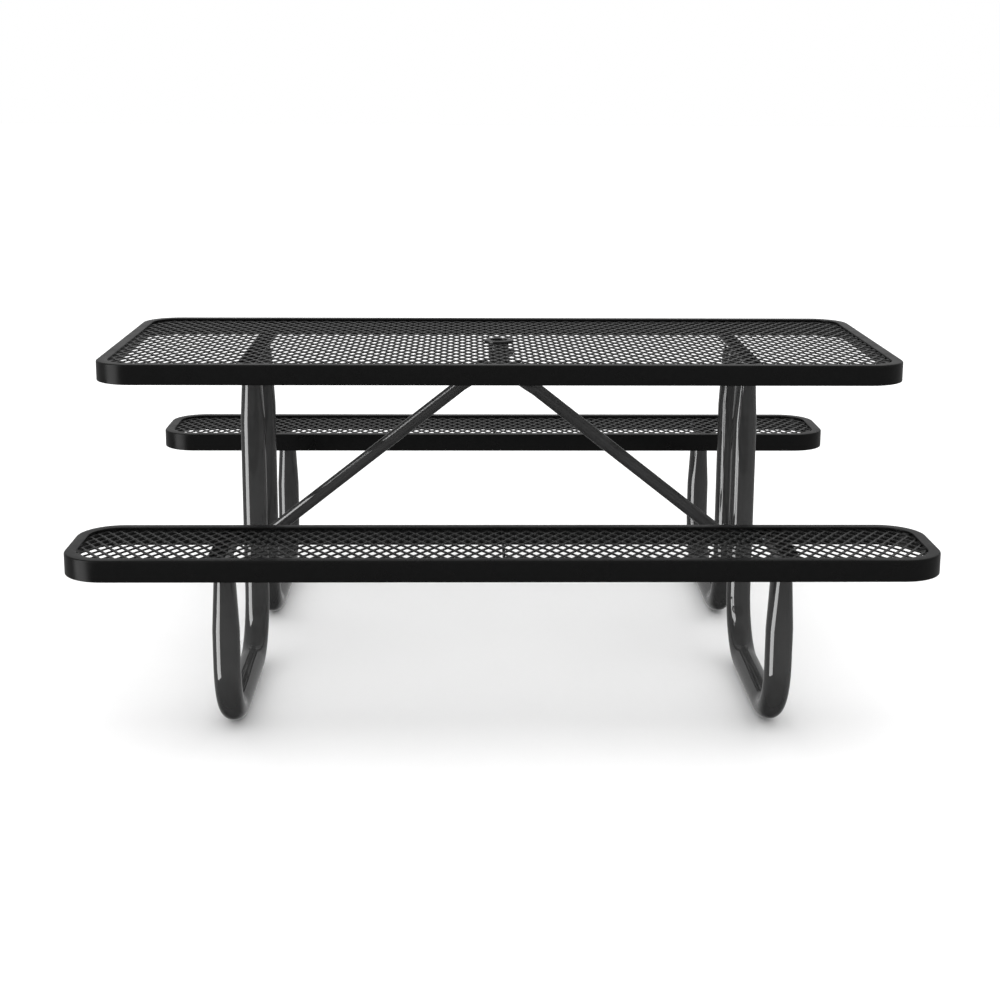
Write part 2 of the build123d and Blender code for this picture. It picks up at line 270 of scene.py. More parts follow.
def pressed_inside(points, low, high, corner, margin):
    """Points beyond a rounded rectangle are moved straight back onto it.

    Distance outside = length of the part beyond the corner centres, less the corner radius.
    """
    centre = (low + high)[:2] / 2
    radius = corner - margin
    half = (high - low)[:2] / 2 - margin - radius
    offset = points - centre
    beyond = np.abs(offset) - half
    out = np.maximum(beyond, 0)
    length = np.linalg.norm(out, axis=-1)
    single = np.where(beyond[..., :1] > beyond[..., 1:], [1.0, 0.0], [0.0, 1.0])
    unit = out / np.maximum(length, 1e-9)[..., None]
    direction = np.where(length[..., None] > 1e-9, unit, single)
    distance = length - radius
    move = np.maximum(distance, 0)[..., None] * direction * np.sign(offset)
    return points - move, distance


def pressed_outside(points, radius):
    """Points nearer than radius to the umbrella hole's axis are moved out to that circle."""
    distance = np.linalg.norm(points, axis=-1, keepdims=True)
    return np.where(distance < radius, points / np.maximum(distance, 1e-9) * radius, points)


def diamond_panel(name, low, high, corner, height, pitch, start, hole, keep, sleeve=0.0):
    """One panel of diamonds; see the three formulas above. keep(x) says which cells to make."""
    m = side_steps
    unit = np.array(pitch) / (2 * m)
    reach = np.ceil((high - low)[:2] / np.array(pitch)).astype(int) * 2 + 4
    p, q = np.meshgrid(*[np.arange(-r, r) for r in reach], indexing="ij")
    middle = (low + high)[:2] / 2
    shift = np.round((middle - start) / (np.array(pitch))).astype(int) * 2
    cells = np.stack([p.ravel() + shift[0], q.ravel() + shift[1]], -1)
    cells = cells[(cells.sum(1) % 2) == 0] * m
    t = np.arange(m)
    around = np.concatenate([
        np.stack([m - t, t], -1), np.stack([-t, m - t], -1),
        np.stack([t - m, -t], -1), np.stack([t, t - m], -1)])
    ridge_key = cells[:, None] + around[None]
    ridge = start + ridge_key * unit
    centre = start + cells * unit
    inset_wall = rim_wall + 0.0003
    ridge_in, distance = pressed_inside(ridge, low, high, corner, inset_wall)
    use = (distance < 0).any(1) & keep(centre[:, 0])
    if sleeve:
        use &= (np.linalg.norm(ridge, axis=-1) > sleeve).any(1)
        use &= np.abs(centre / (np.array(pitch) / 2)).sum(1) > 1
    ridge_key, ridge, ridge_in, centre = ridge_key[use], ridge[use], ridge_in[use], centre[use]
    way = ridge - centre[:, None]
    way /= np.linalg.norm(way, axis=-1, keepdims=True)
    width, length, strand = hole
    slope = math.hypot(*pitch)
    drawn = np.array(pitch) / 2 - strand / 2 * slope / np.array(pitch)[::-1]
    limits = np.stack([np.abs(way[..., 0]) / (width / 2), np.abs(way[..., 1]) / (length / 2),
                       np.abs(way[..., 0]) / drawn[0] + np.abs(way[..., 1]) / drawn[1]])
    distance = (limits ** 7).sum(0) ** (-1 / 7)
    rim_of_hole = centre[:, None] + way * distance[..., None]
    rim_of_hole = pressed_inside(rim_of_hole, low, high, corner, inset_wall + edge_strip)[0]
    if sleeve:
        ridge_in = pressed_outside(ridge_in, sleeve)
        rim_of_hole = pressed_outside(rim_of_hole, sleeve + edge_strip)
    across = np.linspace(0, math.pi, round_steps + 1)
    out = np.abs(np.sin(across)) ** strand_squareness
    out[[0, -1]] = 0
    body = ridge_in[:, None] + (rim_of_hole - ridge_in)[:, None] * out[None, :, None, None]
    half = (height[1] - height[0]) / 2
    rise = np.sign(np.cos(across)) * np.abs(np.cos(across)) ** strand_squareness
    z = (height[0] + half) + half * rise
    z = np.broadcast_to(z[None, :, None, None], body.shape[:3] + (1,))
    body = np.concatenate([body, z], -1)
    count, columns = body.shape[0], body.shape[2]
    keys, first, place = np.unique(
        ridge_key.reshape(-1, 2), axis=0, return_index=True, return_inverse=True)
    place = place.reshape(count, columns)
    shared = len(keys)
    number = np.empty(body.shape[:3], dtype=np.int64)
    number[:, 0], number[:, -1] = place, place + shared
    inner = round_steps - 1
    number[:, 1:-1] = 2 * shared + np.arange(count * inner * columns).reshape(count, inner, columns)
    points = np.concatenate([body[:, 0].reshape(-1, 3)[first], body[:, -1].reshape(-1, 3)[first],
                             body[:, 1:-1].reshape(-1, 3)])
    nxt = np.roll(number, -1, axis=2)
    skin = np.stack([number[:, :-1], nxt[:, :-1], nxt[:, 1:], number[:, 1:]], -1).reshape(-1, 4)
    edge = np.stack([place, np.roll(place, -1, axis=1)], -1).reshape(-1, 2)
    back, times = np.unique(
        np.sort(edge, axis=1), axis=0, return_inverse=True, return_counts=True)[1:]
    lone = edge[times[back.reshape(-1)] == 1]
    wall = np.stack([lone[:, 1], lone[:, 0], lone[:, 0] + shared, lone[:, 1] + shared], -1)
    print(f"{name}: {count} holes")
    return new_piece(name, points, [skin, wall])


# %% Make the panels
across_pitch, strand_height = 0.02845, 0.0034
table_pitch, seat_pitch = (across_pitch, 0.0480), (across_pitch, 0.0444)
table_hole, seat_hole = (0.0210, 0.0392, 0.0052), (0.0212, 0.0362, 0.0060)


def strand_levels(node):
    """Underside and top of the strands: flush with the top of the node's box."""
    top = low_high(node)[1][2]
    return top - strand_height, top


table_levels = strand_levels("tabletop_mesh")
sleeve_gap = 0.02445
table_start = np.array([-0.0029, 0.0113])
halves = {"left": lambda x: x < 0, "right": lambda x: x >= 0}
meshes = {"tabletop_mesh": [
    diamond_panel(f"tabletop_mesh_{half}_half", top_low, top_high, table_corner, table_levels,
                  table_pitch, table_start, table_hole, keep, sleeve_gap)
    for half, keep in halves.items()]}
seat_starts = {"front": np.array([-0.0041, -0.0082]), "back": np.array([-0.0036, 0.0079])}
for side, (low, high) in seat_boxes.items():
    meshes[f"{side}_seat_mesh"] = [diamond_panel(
        f"{side}_seat_mesh_coated", low, high, seat_corner, strand_levels(f"{side}_seat_mesh"),
        seat_pitch, seat_starts[side], seat_hole, np.isfinite)]

# %% [markdown]
# ## Bent tube legs
#
# One tube makes the bench arm, the floor rail and the table leg. A bender turns it by 90 degrees
# twice, and a press squeezes both ends from round to oval so that they slip between the brackets.
# The path is told by its heading: constant on the straight runs and changing evenly in the bends.
# Adding up small steps in that heading gives the place. The tube's section is an ellipse that
# stands square to the heading, drawn first outside and then, on the way back, inside, so the open
# ends show a real wall.

# %% Carry an ellipse along the bent path
tube_radius, tube_wall, bend_radius = 0.029, 0.0032, 0.1397
press_length, press_x, press_y = 0.138, 0.0215, 0.0349
columns = 56


def heading_path(stations, breaks, headings, start):
    """Place = start + running sum of (cos heading, sin heading) * step, read at the stations."""
    fine = np.linspace(0, breaks[-1], 16001)
    heading = np.interp((fine[1:] + fine[:-1]) / 2, breaks, headings)
    steps = np.diff(fine)[:, None] * np.stack([np.cos(heading), np.sin(heading)], -1)
    place = np.concatenate([[start], start + np.cumsum(steps, axis=0)])
    here = np.interp(stations, breaks, headings)
    at = np.stack([np.interp(stations, fine, place[:, k]) for k in (0, 1)], -1)
    return at, here


def make_leg(name, end, side):
    """Point = path + X * half width * cos a + normal * half depth * sin a, less the inset."""
    low, high = low_high(name)
    x = (low[0] + high[0]) / 2
    sign = {"front": -1, "back": 1}[side]
    outer = max(abs(low[1]), abs(high[1])) - tube_radius
    inner = min(abs(low[1]), abs(high[1])) + press_y
    arm_top = low_high(f"{side}_seat_cross_angle_{end}")[0][2] - 0.0008
    leg_top = high[2]
    quarter = bend_radius * math.pi / 2
    runs = [arm_top - tube_radius - bend_radius, quarter, outer - inner - 2 * bend_radius,
            quarter, leg_top - tube_radius - bend_radius]
    breaks = np.concatenate([[0], np.cumsum(runs)])
    total = breaks[-1]
    turns = np.array([-math.pi / 2] * 2 + [0.0] * 2 + [math.pi / 2] * 2)
    lip, wall = 0.0008, tube_wall
    along = np.concatenate([
        np.linspace(lip, press_length, 9), np.linspace(press_length, breaks[1], 4)[1:],
        np.linspace(breaks[1], breaks[2], 27)[1:], np.linspace(breaks[2], breaks[3], 4)[1:],
        np.linspace(breaks[3], breaks[4], 27)[1:],
        np.linspace(breaks[4], total - press_length, 6)[1:],
        np.linspace(total - press_length, total - lip, 9)[1:]])
    station = np.concatenate([along, [total - lip / 4, total, total, total - lip / 4], along[::-1],
                              [lip / 4, 0, 0, lip / 4]])
    inset = np.concatenate([np.zeros(len(along)), [lip / 4, lip, wall - lip, wall - lip / 4],
                            np.full(len(along), wall), [wall - lip / 4, wall - lip, lip, lip / 4]])
    place, heading = heading_path(station, breaks, turns, np.array([-outer, arm_top]))
    near = np.minimum(station, total - station)
    pressed = np.clip(1 - near / press_length, 0, 1)
    wide = tube_radius + (press_x - tube_radius) * pressed - inset
    deep = tube_radius + (press_y - tube_radius) * pressed - inset
    a = np.arange(columns) / columns * 2 * math.pi
    off = deep[:, None] * np.sin(a)
    grid = np.stack([x + wide[:, None] * np.cos(a),
                     -sign * (place[:, :1] - np.sin(heading)[:, None] * off),
                     place[:, 1:] + np.cos(heading)[:, None] * off], -1)
    y_end, z_end = place[len(along) + 1]
    print(f"{name}: tube {total:.3f} m long, ends at y {y_end:.4f}, z {z_end:.4f}")
    return new_piece(f"{name}_tube", grid.reshape(-1, 3), [ring_faces(*grid.shape[:2])])


legs = {}
for side in ("front", "back"):
    for end in ("left", "right"):
        legs[f"{side}_leg_{end}"] = make_leg(f"{side}_leg_{end}", end, side)

# %% [markdown]
# ## Cross ties and their welds
#
# A short tube ties the front and back table legs of each end. Its ends are coped: cut to the
# curve of the leg, so that the weld has no gap to fill. On the tie's circle, a point that lies x
# to the side of the middle meets the leg at square root of (leg radius squared - x squared) from
# the leg's axis. The weld is a small ripple-edged bead along that same saddle curve.

# %% Coped ties and weld beads
def make_tie(name):
    low, high = low_high(name)
    x, z = (low[0] + high[0]) / 2, (low[2] + high[2]) / 2
    radius, wall = (high[2] - low[2]) / 2, 0.003
    leg_y = low_high("back_leg_left")[0][1] + press_y
    a = np.arange(48) / 48 * 2 * math.pi
    along = np.linspace(-1, 1, 13)
    share = np.concatenate([along, along[::-1]])
    r = np.concatenate([np.full(13, radius), np.full(13, radius - wall)])
    side = r[:, None] * np.cos(a)
    reach = leg_y - np.sqrt(tube_radius ** 2 - side ** 2)
    grid = np.stack([x + side, share[:, None] * reach, z + r[:, None] * np.sin(a)], -1)
    return new_piece(f"{name}_tube", grid.reshape(-1, 3), [ring_faces(*grid.shape[:2])])


bead_radius = 0.0026


def make_weld(name, saddle, out, away):
    """Bead = saddle point + (1 + ripple) * bead radius * (out * cos b + away * sin b)."""
    a = np.arange(len(saddle)) / len(saddle) * 2 * math.pi
    b = np.arange(10) / 10 * 2 * math.pi
    bead = bead_radius * (1 + 0.14 * np.sin(26 * a) + 0.05 * np.sin(7 * a + 1))
    round_bead = out[:, None] * np.cos(b)[:, None] + away * np.sin(b)[:, None]
    grid = saddle[:, None] + bead[:, None, None] * round_bead
    return new_piece(name, grid.reshape(-1, 3), [ring_faces(len(saddle), 10)])


def tie_weld(name, end, side):
    """The saddle where a tie meets a leg, on the tie's outside."""
    low, high = low_high(f"leg_cross_tie_{end}")
    x, z = (low[0] + high[0]) / 2, (low[2] + high[2]) / 2
    radius = (high[2] - low[2]) / 2
    leg_y = low_high("back_leg_left")[0][1] + press_y
    a = np.arange(128) / 128 * 2 * math.pi
    out = np.stack([np.cos(a), np.zeros(128), np.sin(a)], -1)
    reach = leg_y - np.sqrt(tube_radius ** 2 - (radius * np.cos(a)) ** 2)
    saddle = np.stack([x + radius * np.cos(a), side * reach, z + radius * np.sin(a)], -1)
    return make_weld(name, saddle, out, np.array([0, -side, 0]))


ties = {f"leg_cross_tie_{end}": make_tie(f"leg_cross_tie_{end}") for end in ("left", "right")}
welds = [tie_weld(f"tie_weld_{end}_{label}", end, side)
         for end in ("left", "right") for label, side in (("front", -1), ("back", 1))]

# %% [markdown]
# ## Diagonal braces
#
# Each brace is a tube. A press flattens its upper end to a tongue with one bolt hole, and its
# lower end is coped and welded onto the cross tie. The section is a superellipse, whose power runs
# from 2 (a circle) to 7 (a flat bar with soft corners), while its half width grows and its half
# thickness shrinks towards the bolt. Past the bolt the half width follows a half circle.

# %% Press one brace end flat and cope the other
def make_brace(end, sign):
    """Point = axis + Y * thickness * c + W * width * s, with c and s the signed powers 2/p.

    The last row stops short of the tie's middle by square root of (tie radius squared - offset
    squared), where the offset is the point's distance from the axis along W.
    """
    low, high = low_high(f"brace_{end}")
    tie_low, tie_high = low_high(f"leg_cross_tie_{end}")
    tongue, thin, tube = 0.019, 0.004, 0.016
    flat, taper = 0.030, 0.045
    y = (low[1] + high[1]) / 2
    upper = np.array([sign * (min(abs(low[0]), abs(high[0])) + tongue), y, high[2] - tongue])
    lower = np.array([(tie_low[0] + tie_high[0]) / 2, y, (tie_low[2] + tie_high[2]) / 2])
    tie_radius = (tie_high[2] - tie_low[2]) / 2
    along = lower - upper
    span = np.linalg.norm(along)
    along /= span
    cap = -tongue * np.cos(np.linspace(0.06, math.pi / 2, 8))
    station = np.concatenate([
        cap, np.linspace(0, flat, 4)[1:], np.linspace(flat, flat + taper, 14)[1:],
        [span / 3, span * 2 / 3, span - 0.05, span]])
    ease = np.clip((station - flat) / taper, 0, 1)
    ease = ease * ease * (3 - 2 * ease)
    edge = np.sqrt(np.clip(1 - np.clip(-station / tongue, 0, 1) ** 2, 0, 1))
    width = (tongue + (tube - tongue) * ease) * np.where(station < 0, edge, 1)
    thick = (thin + (tube - thin) * ease) * np.where(station < 0, np.minimum(1, edge * 4), 1)
    power = 2 / (7 + (2 - 7) * ease)
    a = (np.arange(56) + 0.5) / 56 * 2 * math.pi
    c = np.sign(np.cos(a)) * np.abs(np.cos(a)) ** power[:, None]
    s = np.sign(np.sin(a)) * np.abs(np.sin(a)) ** power[:, None]
    side = np.cross(along, [0, 1, 0])
    reach = np.repeat(station[:, None], 56, axis=1)
    reach[-1] -= np.sqrt(tie_radius ** 2 - (tube * s[-1]) ** 2)
    grid = upper + along * reach[..., None] + (thick[:, None] * c)[..., None] * [0, 1, 0]
    grid = grid + (width[:, None] * s)[..., None] * side
    quads, fans = rod_faces(*grid.shape[:2])
    piece = new_piece(f"brace_{end}_tube", with_middles(grid), [quads, fans])
    b = np.arange(96) / 96 * 2 * math.pi
    out = np.cos(b)[:, None] * [0, 1, 0] + np.sin(b)[:, None] * side
    stop = span - np.sqrt(tie_radius ** 2 - (tube * np.sin(b)) ** 2)
    bead = make_weld(f"brace_weld_{end}", upper + along * stop[:, None] + tube * out, out, -along)
    return piece, bead, upper


braces, brace_bolts_at = {}, []
for end, sign in (("left", -1), ("right", 1)):
    braces[f"brace_{end}"], bead, upper = make_brace(end, sign)
    welds.append(bead)
    brace_bolts_at.append(upper)

# %% [markdown]
# ## Umbrella ring, sleeve and set screw
#
# All three are turned parts: a profile goes round an axis. The ring trims the hole in the mesh,
# the sleeve under it guides the pole, and a thumb screw in the sleeve's side clamps the pole. The
# screw's head is cut with round grooves: at the angle a from a groove the radius is less by the
# groove's own arc, worked out as the far side of a small circle centred on the head's edge.

# %% Turn profiles round their axes
def ring_parts(outline, steps):
    """Point = (radius * cos a, radius * sin a, height) for a closed outline of (radius, height)."""
    a = np.arange(steps)[:, None] / steps * 2 * math.pi
    r, z = outline[:, 0], outline[:, 1]
    height = np.broadcast_to(z, (steps, len(z)))
    grid = np.stack([r * np.cos(a), r * np.sin(a), height], -1)
    return grid.reshape(-1, 3), [ring_faces(steps, len(z))]


def turned(name, outline):
    """A turned part on the umbrella hole's axis."""
    return new_piece(name, *ring_parts(outline, 72))


ring_low, ring_high = low_high("umbrella_ring")
sleeve_low, sleeve_high = low_high("umbrella_sleeve")
bore = 0.0210
ring = turned("umbrella_ring_coated", rounded_corners(
    [(bore, ring_low[2]), (ring_high[0], ring_low[2]),
     (ring_high[0], ring_high[2]), (bore, ring_high[2])],
    [0.0006, 0.0008, 0.0018, 0.0014], 6))
sleeve = turned("umbrella_sleeve_coated", rounded_corners(
    [(bore, sleeve_low[2]), (sleeve_high[1], sleeve_low[2]),
     (sleeve_high[1], sleeve_high[2]), (bore, sleeve_high[2])],
    [0.0010, 0.0010, 0.0004, 0.0004], 5))


def make_screw():
    """Radius along X from the tip to the head, less the grooves where the head is."""
    low, high = low_high("set_screw")
    z = (low[2] + high[2]) / 2
    head, stem = (high[2] - low[2]) / 2, 0.004
    start, stop, tip = high[0] - 0.006, high[0], low[0]
    x = np.concatenate([
        [tip, tip + 0.0006], np.linspace(tip + 0.0012, start - 0.0002, 26),
        [start, start, start + 0.0006, start + 0.0020],
        [stop - 0.0020, stop - 0.0007, stop, stop]])
    turns = 0.00022 * (0.5 - 0.5 * np.cos(2 * math.pi * (x - tip) / 0.00125))
    r = np.where(x < start - 0.0001, stem - turns, head)
    r[:2] = [stem - 0.0008, stem - 0.0002]
    r[-8:] = [stem, head - 0.0006, head, head, head, head, head - 0.0007, 0.0030]
    a = np.arange(192) / 192 * 2 * math.pi
    groove = 0.0012
    off = np.abs((a / (2 * math.pi) * 16 + 0.5) % 1 - 0.5) / 16 * 2 * math.pi * head
    depth = np.sqrt(np.clip(groove ** 2 - off ** 2, 0, None))
    gr = (r > head * 0.8)[:, None] * depth
    rr = r[:, None] - gr
    grid = np.stack([np.broadcast_to(x[:, None], rr.shape), rr * np.cos(a), z + rr * np.sin(a)], -1)
    quads, fans = rod_faces(*grid.shape[:2])
    return new_piece("set_screw_zinc", with_middles(grid), [quads, fans], sharp=40)


screw = make_screw()

# %% [markdown]
# ## Bolts, nuts and washers
#
# A hexagon's edge lies at half its width across flats divided by the cosine of the angle from the
# nearest flat's middle. Forging leaves a turned chamfer on the end face, which is a cone that cuts
# the six corners, so the radius is the smaller of hexagon and cone. Copies are placed by their
# point and direction, all of one set in one mesh.

# %% Fastener shapes
across_flats, shank = 0.017, 0.005


def hex_body(height):
    """Rows of a hexagon with a chamfer cone at its upper face; radius = smaller of both."""
    a = np.arange(36) / 36 * 2 * math.pi
    flat = (across_flats / 2) / np.cos((a + math.pi / 6) % (math.pi / 3) - math.pi / 6)
    z = np.array([0, 0.0004, height - 0.0018, height - 0.0009, height])
    cone = across_flats / 2 * 0.955 + (height - z) * 1.73
    r = np.minimum(flat, cone[:, None])
    r[0] = flat - 0.0004
    return np.stack([r * np.cos(a), r * np.sin(a), np.broadcast_to(z[:, None], r.shape)], -1)


def thread_body(top, bottom):
    """A screwed end: radius = shank - ripple of the 1.5 mm pitch, with a small point."""
    a = np.arange(24) / 24 * 2 * math.pi
    z = np.linspace(top, bottom, 17)
    r = shank - 0.0004 * (0.5 - 0.5 * np.cos(2 * math.pi * (z - bottom) / 0.0015))
    r[-1] = shank - 0.0011
    r = r[:, None]
    return np.stack([r * np.cos(a), r * np.sin(a), np.broadcast_to(z[:, None], (17, 24))], -1)


def rod_parts(grid):
    quads, fans = rod_faces(*grid.shape[:2])
    return with_middles(grid), [quads, fans]


def placed(name, shapes, places):
    """Copy closed shapes to places given as (point, direction).

    Point = place + shape * a frame whose rows are X, Y and Z = direction.
    """
    points, faces, count = [], {3: [], 4: []}, 0
    for point, direction in places:
        z = np.array(direction, float)
        x = np.cross([0.0, 0.6, 0.8], z)
        x /= np.linalg.norm(x)
        axes = np.stack([x, np.cross(z, x), z])
        for shape, parts in shapes:
            points.append(np.asarray(point) + shape @ axes)
            for f in parts:
                faces[f.shape[1]].append(f + count)
            count += len(shape)
    faces = [np.concatenate(f) for f in faces.values() if f]
    return new_piece(name, np.concatenate(points), faces, sharp=32)


def outward(shape, parts):
    """The same shape with its faces turned outwards, by the sign of its volume."""
    tri = triangles_of(parts)
    a, b, c = shape[tri[:, 0]], shape[tri[:, 1]], shape[tri[:, 2]]
    turned_in = np.einsum("ij,ij->", a, np.cross(b, c)) < 0
    return shape, [p[:, ::-1] if turned_in else p for p in parts]


# %% Fastener places, from the boxes of the brackets that they hold
bolt_inset, plate_half = 0.014, 0.013
places = {"seat": [], "tabletop": [], "brace": []}
for end, sign in (("left", -1), ("right", 1)):
    for side in ("front", "back"):
        plate_low, plate_high = low_high(f"{side}_seat_plate_{end}")
        angle_low, angle_high = low_high(f"{side}_seat_cross_angle_{end}")
        x = sign * min(abs(angle_low[0]), abs(angle_high[0]))
        for y in (plate_low[1] + bolt_inset, plate_high[1] - bolt_inset):
            point = np.array([x, y, plate_high[2] - plate_half])
            places["seat"].append((point, np.array([-sign, 0, 0])))
    plate_low, plate_high = low_high(f"tabletop_plate_{end}")
    x = sign * min(abs(plate_low[0]), abs(plate_high[0]))
    for y in (plate_low[1] + bolt_inset, plate_high[1] - bolt_inset):
        point = np.array([x, y, plate_high[2] - plate_half])
        places["tabletop"].append((point, np.array([-sign, 0, 0])))
for point in brace_bolts_at:
    outside = np.array([0, np.sign(point[1]), 0])
    places["brace"].append((point + outside * 0.004, outside))

washer_height, nut_height, head_height, overhang = 0.002, 0.0084, 0.0064, 0.003
washer_outline = rounded_corners(
    [(0.0054, 0), (0.0105, 0), (0.0105, washer_height), (0.0054, washer_height)], [0.0003] * 4, 3)
fasteners, washer_places = {}, []
for group, grip in (("seat", 0.012), ("tabletop", 0.012), ("brace", 0.012)):
    end_z = -(grip + washer_height + nut_height)
    head = outward(*rod_parts(hex_body(head_height)))
    thread = outward(*rod_parts(thread_body(-0.001, end_z - overhang)))
    fasteners[f"{group}_bolts"] = placed(f"{group}_bolts_zinc", [head, thread], places[group])
    nut = outward(*rod_parts(hex_body(nut_height)))
    behind = [(p - d * (grip + washer_height), -d) for p, d in places[group]]
    fasteners[f"{group}_nuts"] = placed(f"{group}_nuts_zinc", [nut], behind)
    washer_places += [(p - d * grip, -d) for p, d in places[group]]
fasteners["washers"] = placed(
    "washers_zinc", [outward(*ring_parts(washer_outline, 40))], washer_places)

# %% [markdown]
# ## Brackets that keep their CAD shape
#
# The cross angles, plates, straps and hub plates are cut from flat bar, so their CAD shape
# is right as it stands. Powder coat rounds a sawn edge to about a millimetre. The CAD mesh has
# loose triangles, so a Weld modifier joins them first and a Bevel then rolls the sharp edges.

# %% Soften the bracket edges
brackets = [n for n in nodes if "_cross_angle_" in n or "_plate_" in n or n.endswith("_strap")
            or n in ("brace_hub_plates", "set_screw_boss")]
for name in brackets:
    weld = nodes[name].modifiers.new("join", "WELD")
    weld.merge_threshold = 0.00002
    bevel = nodes[name].modifiers.new("soft_edge", "BEVEL")
    bevel.width, bevel.segments, bevel.limit_method = 0.0009, 2, "ANGLE"
    bevel.angle_limit = math.radians(40)
print("brackets kept:", len(brackets))

# %% [markdown]
# ## One function for nodes, one for colours
#
# A material is a small graph of nodes. One function adds a node, sets it up and links what feeds
# it. Colours are written as sRGB hex values, as a paint chart does, and turned to the linear
# values that light is computed with: value / 12.92 below 0.04045, else ((value + 0.055) / 1.055)
# to the power 2.4.

# %% Node and colour helpers
def linear(hex_colour):
    """sRGB hex to linear RGBA."""
    srgb = [int(hex_colour[i:i + 2], 16) / 255 for i in (1, 3, 5)]
    return [v / 12.92 if v <= 0.04045 else ((v + 0.055) / 1.055) ** 2.4 for v in srgb] + [1.0]


def add(tree, kind, settings=(), links=()):
    """Add a node; settings and links are pairs of a property or socket and its value or source."""
    node = tree.nodes.new(kind)
    for key, value in settings:
        if isinstance(key, str) and hasattr(node, key):
            setattr(node, key, value)
        else:
            node.inputs[key].default_value = value
    for socket, source in links:
        tree.links.new(source, node.inputs[socket])
    return node


def new_material(name):
    """An empty material with its output node and its Object coordinates."""
    material = bpy.data.materials.new(name)
    material.use_nodes = True
    tree = material.node_tree
    tree.nodes.clear()
    place = add(tree, "ShaderNodeTexCoord")
    output = add(tree, "ShaderNodeOutputMaterial")
    return material, tree, place.outputs["Object"], output


def per_metre(millimetres):
    """Texture scale for features of that size, in patterns that count per metre."""
    return 1000.0 / millimetres


def noise(tree, place, millimetres, detail, roughness=0.5):
    settings = [("Scale", per_metre(millimetres)), ("Detail", detail), ("Roughness", roughness)]
    return add(tree, "ShaderNodeTexNoise", settings, [("Vector", place)]).outputs["Fac"]


def remap(tree, source, low, high, to_low, to_high):
    """The source taken linearly from one range to another."""
    settings = [("From Min", low), ("From Max", high), ("To Min", to_low), ("To Max", to_high)]
    return add(tree, "ShaderNodeMapRange", settings, [("Value", source)]).outputs["Result"]


def two_tones(tree, source, *stops):
    """The source as a colour between two stops of (position, sRGB hex)."""
    ramp = add(tree, "ShaderNodeValToRGB", links=[("Fac", source)])
    for element, (position, hex_colour) in zip(ramp.color_ramp.elements, stops):
        element.position, element.color = position, linear(hex_colour)
    return ramp.outputs["Color"]


def relief(tree, height, strength, distance, under=()):
    """A bump of that distance in metres, laid over another one if given."""
    links = [("Height", height)] + [("Normal", normal) for normal in under]
    settings = [("Strength", strength), ("Distance", distance)]
    return add(tree, "ShaderNodeBump", settings, links).outputs["Normal"]


def surface(tree, output, settings, colour, roughness, normal):
    shader = add(tree, "ShaderNodeBsdfPrincipled", settings, [
        ("Base Color", colour), ("Roughness", roughness), ("Normal", normal)])
    tree.links.new(shader.outputs["BSDF"], output.inputs["Surface"])


# %% [markdown]
# ## Thermoplastic dip coat (rims and mesh)
#
# Outdoor tables are heated and dipped in polyethylene powder, which melts to a soft skin about
# half a millimetre thick. It looks deep black with a silky sheen: strong at a flat angle and weak
# when seen straight on. Up close it has a pebbled skin, with dimples 1 to 3 mm wide, and faint
# flow waves 20 to 40 mm long. Dimples that fine hardly show from a few metres, so the bump is
# drawn a little coarser than real.

# %% Thermoplastic coat
def coating(specular):
    """Shader settings of a clear-skinned plastic."""
    return [("Metallic", 0.0), ("IOR", 1.5), ("Specular IOR Level", specular)]


def dip_coat(name, dark, light, roughness, specular, dimple_mm, depth):
    material, tree, place, output = new_material(name)
    wave = noise(tree, place, 34, 2.0)
    dimple = noise(tree, place, dimple_mm, 3.0, 0.55)
    speck = noise(tree, place, 9, 4.0, 0.7)
    tone = two_tones(tree, speck, (0.35, dark), (0.75, light))
    sheen = remap(tree, wave, 0.3, 0.7, roughness - 0.04, roughness + 0.05)
    low = relief(tree, wave, 0.25, 0.0010)
    fine = relief(tree, dimple, 0.5, depth, [low])
    surface(tree, output, coating(specular), tone, sheen, fine)
    return material


rim_coat = dip_coat("polyethylene_dip_coat_rim", "#050505", "#090909", 0.30, 0.28, 2.4, 0.00008)
mesh_coat = dip_coat("polyethylene_dip_coat_mesh", "#070707", "#0D0D0D", 0.24, 0.60, 2.4, 0.00006)

# %% [markdown]
# ## Gloss powder coat (tubes)
#
# The tubes are sprayed with dry polyester powder and baked. The film levels out to a hard mirror
# gloss with a trace of orange peel: ripples a few millimetres wide and only microns high, which
# make a reflected edge waver. The eye sees black glass: 4 % of what stands in front, and nearly
# everything at a flat angle. The room that they mirror here is kept dim, so the tubes' base
# colour is a dark grey instead of black. That grey is painted reflection: it stands in for the
# bright studio that the gloss would otherwise mirror.

# %% Gloss powder coat
def powder_gloss(name, dark, light, roughness, specular, peel_mm, depth):
    material, tree, place, output = new_material(name)
    peel = noise(tree, place, peel_mm, 1.0, 0.4)
    drift = noise(tree, place, 60, 3.0, 0.6)
    # Base colour, a little lighter or darker at random. On the leg and brace tubes its grey level
    # is painted reflection.
    tone = two_tones(tree, drift, (0.3, dark), (0.7, light))
    haze = remap(tree, drift, 0.3, 0.7, roughness, roughness + 0.03)
    ripple = relief(tree, peel, 0.35, depth)
    surface(tree, output, coating(specular), tone, haze, ripple)
    return material


# The grey base colours of the leg and brace coats are painted reflection, in place of the light
# that the dim room leaves out of their mirror.
leg_coat = powder_gloss(
    "polyester_powder_gloss_leg", "#303030", "#343434", 0.025, 0.5, 6.0, 0.000012)
brace_coat = powder_gloss(
    "polyester_powder_gloss_brace", "#2F2F2F", "#333333", 0.04, 0.5, 6.0, 0.000012)
bracket_coat = powder_gloss(
    "polyester_powder_semi_gloss_bracket", "#161616", "#1E1E1E", 0.28, 0.5, 3.0, 0.000060)

# %% [markdown]
# ## Bright zinc plating (fasteners)
#
# Bolts, nuts, washers and the thumb screw are electroplated with zinc, which gives a cool light
# grey metal with a fine crystal grain and slightly cloudy patches where the clear passivate dried.
# Grain of a few hundredths of a millimetre can't show here, so it is drawn at 0.8 mm.

